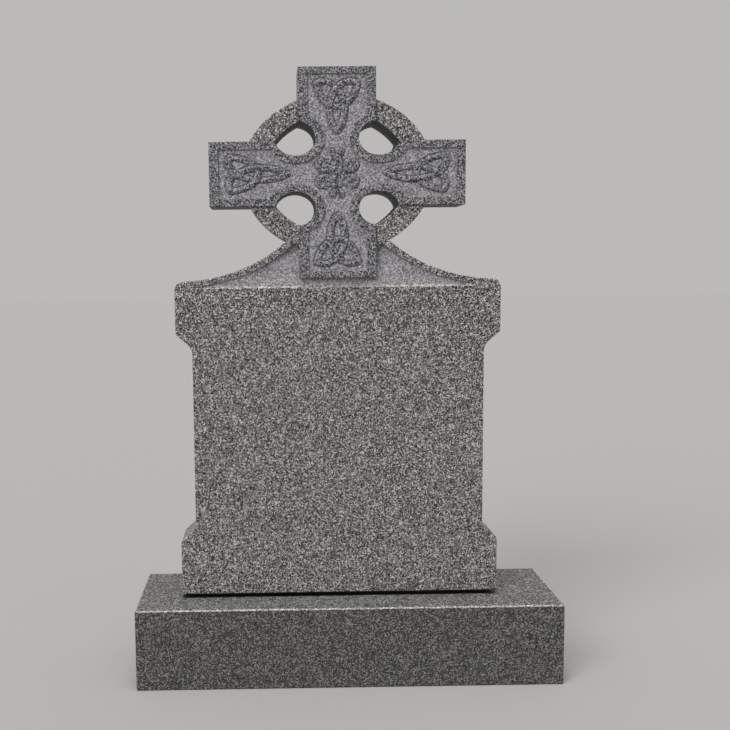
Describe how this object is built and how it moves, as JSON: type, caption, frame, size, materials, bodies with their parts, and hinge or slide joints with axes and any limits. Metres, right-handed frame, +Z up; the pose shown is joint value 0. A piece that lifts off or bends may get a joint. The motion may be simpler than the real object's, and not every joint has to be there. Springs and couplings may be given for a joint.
{
  "type": "celtic cross headstone",
  "caption": "Upright granite headstone: a ringed cross with sunk carved panels rises from a waisted blank slab, set on a rectangular base block.",
  "frame": {"origin": "middle of the base's underside", "axes": "+X to the right seen from the front, +Y towards the plain back, +Z up through the cross; the carved front faces -Y"},
  "size_m": [0.914, 0.305, 1.306],
  "materials": {
    "headstone_granite": "grey speckled granite, honed faces with frosted sunk panels",
    "base_granite": "grey speckled granite, honed"
  },
  "bodies": {
    "root": {"headstone": "headstone_granite", "base": "base_granite"}
  },
  "joints": []
}
